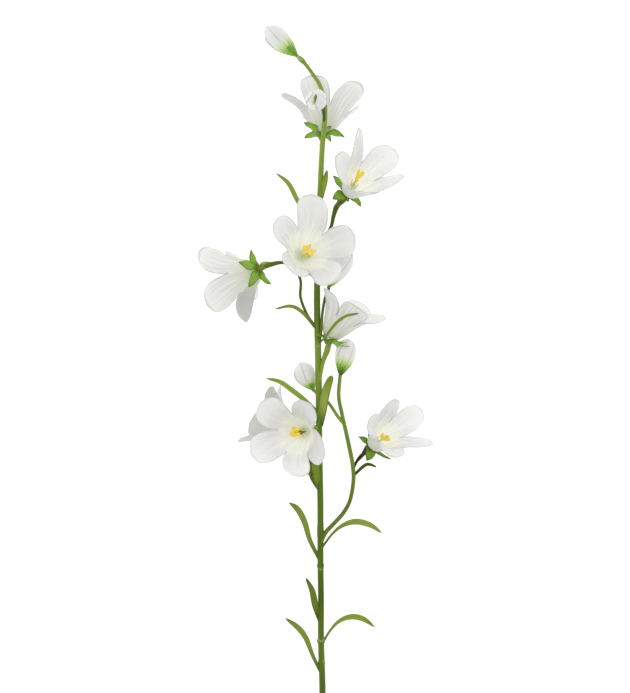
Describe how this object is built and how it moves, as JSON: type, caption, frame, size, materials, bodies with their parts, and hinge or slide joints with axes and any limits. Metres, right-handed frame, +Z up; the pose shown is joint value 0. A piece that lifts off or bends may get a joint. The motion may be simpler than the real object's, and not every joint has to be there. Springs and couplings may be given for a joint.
{
  "type": "campanula flower stem",
  "caption": "Long cut bellflower stem lying flat, with open white five-lobed bells, closed buds, a thin side branch and narrow green leaves.",
  "frame": {"origin": "middle of the footprint on the surface that the stem lies on", "axes": "+Y along the stem from its cut end to the top bud, +Z up from the surface, +X to the side branch's side"},
  "size_m": [0.1682, 0.5404, 0.0968],
  "materials": {
    "stem": "matte green stalk and leaves",
    "calyx": "matte bright green",
    "petal": "soft off-white with fine veins",
    "bud": "soft off-white with green streaks at the foot",
    "stamen": "matte yellow"
  },
  "bodies": {
    "root": {"main_stem": "stem", "side_branch": "stem", "bloom_top_calyx": "calyx", "bloom_top_corolla": "petal", "bloom_top_stamens": "stamen", "bloom_upper_right_calyx": "calyx", "bloom_upper_right_corolla": "petal", "bloom_upper_right_stamens": "stamen", "bloom_centre_calyx": "calyx", "bloom_centre_corolla": "petal", "bloom_centre_stamens": "stamen", "bloom_left_calyx": "calyx", "bloom_left_corolla": "petal", "bloom_left_stamens": "stamen", "bloom_middle_right_calyx": "calyx", "bloom_middle_right_corolla": "petal", "bloom_middle_right_stamens": "stamen", "bloom_lower_front_calyx": "calyx", "bloom_lower_front_corolla": "petal", "bloom_lower_front_stamens": "stamen", "bloom_lower_back_calyx": "calyx", "bloom_lower_back_corolla": "petal", "bloom_lower_back_stamens": "stamen", "bloom_lower_right_calyx": "calyx", "bloom_lower_right_corolla": "petal", "bloom_lower_right_stamens": "stamen", "bud_tip_calyx": "calyx", "bud_tip_petals": "bud", "bud_below_tip_calyx": "calyx", "bud_below_tip_petals": "bud", "bud_opening_calyx": "calyx", "bud_opening_petals": "bud", "bud_branch_calyx": "calyx", "bud_branch_petals": "bud", "bud_left_calyx": "calyx", "bud_left_petals": "bud"}
  },
  "joints": []
}
